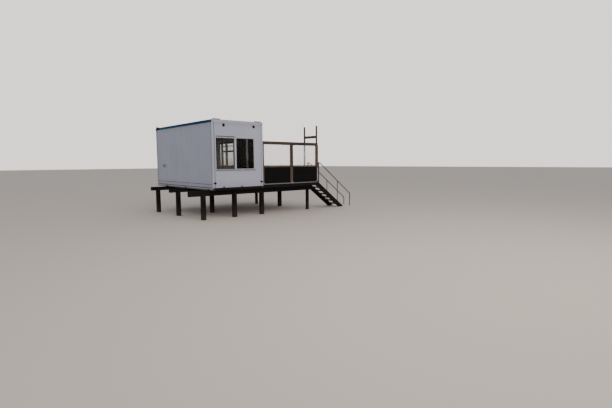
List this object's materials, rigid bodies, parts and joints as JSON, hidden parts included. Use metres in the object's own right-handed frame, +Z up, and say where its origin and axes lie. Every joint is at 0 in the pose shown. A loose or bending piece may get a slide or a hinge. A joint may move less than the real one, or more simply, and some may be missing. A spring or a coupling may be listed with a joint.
{
  "type": "lifeguard tower",
  "caption": "Beach lifeguard post: white steel-framed cabin with a sliding window on tarred timber piles, a raised deck with a wind screen, a portal and an open-riser stair.",
  "frame": {"origin": "on the ground under the middle of the whole object's box", "axes": "+Z up, +X from the cabin towards the stair, +Y from the window end along the blank side"},
  "size_m": [8.6226, 5.12, 3.7399],
  "materials": {
    "tarred_timber": "tar-dressed sawn timber, dull",
    "brown_timber": "weathered brown preservative stain",
    "deck_timber": "weathered planks",
    "black_board": "black painted board, matt",
    "white_panel": "off-white coated sheet, chalky satin",
    "white_frame": "off-white paint on steel, satin",
    "blue_rail": "blue paint on steel, faded",
    "dark_steel": "dark painted steel, dull",
    "tube_steel": "galvanised tube, weathered dark",
    "window_white": "white window profile",
    "window_glass": "clear float glass, salt haze",
    "screen_sheet": "clear weathered sheet",
    "floor_sheet": "plywood floor",
    "edge_strip": "dull grey edge strip"
  },
  "bodies": {
    "root": {"pile_row_front": "tarred_timber", "pile_row_middle": "tarred_timber", "pile_row_back": "tarred_timber", "deck_posts": "tarred_timber", "cap_beam_front": "tarred_timber", "cap_beam_middle": "tarred_timber", "cap_beam_back": "tarred_timber", "base_side_rails": "white_frame", "base_end_rails": "dark_steel", "floor_bearers": "dark_steel", "cabin_floor": "floor_sheet", "corner_posts": "white_frame", "left_wall": "white_panel", "front_wall": "white_panel", "right_wall": "white_panel", "back_wall": "white_panel", "roof_side_rails": "blue_rail", "roof_end_rails": "white_frame", "roof_panel": "white_panel", "front_window_frame": "window_white", "front_window_sashes": "window_white", "front_window_glass": "window_glass", "deck_window_frame": "window_white", "deck_window_sashes": "window_white", "deck_window_glass": "window_glass", "door_frame": "white_frame", "door_leaf": "white_panel", "front_vents": "dark_steel", "lashing_sockets": "dark_steel", "side_grille": "white_frame", "deck_joists": "tarred_timber", "deck_rim": "tarred_timber", "deck_planks": "deck_timber", "deck_edge_strip": "edge_strip", "screen_posts": "brown_timber", "screen_top_rail": "brown_timber", "low_rails": "brown_timber", "black_boards": "black_board", "clear_panes": "screen_sheet", "portal_posts": "tube_steel", "portal_crossbar": "tube_steel", "stair_stringers": "tarred_timber", "stair_treads": "tarred_timber", "stair_newels": "brown_timber", "handrails": "tube_steel"}
  },
  "joints": []
}
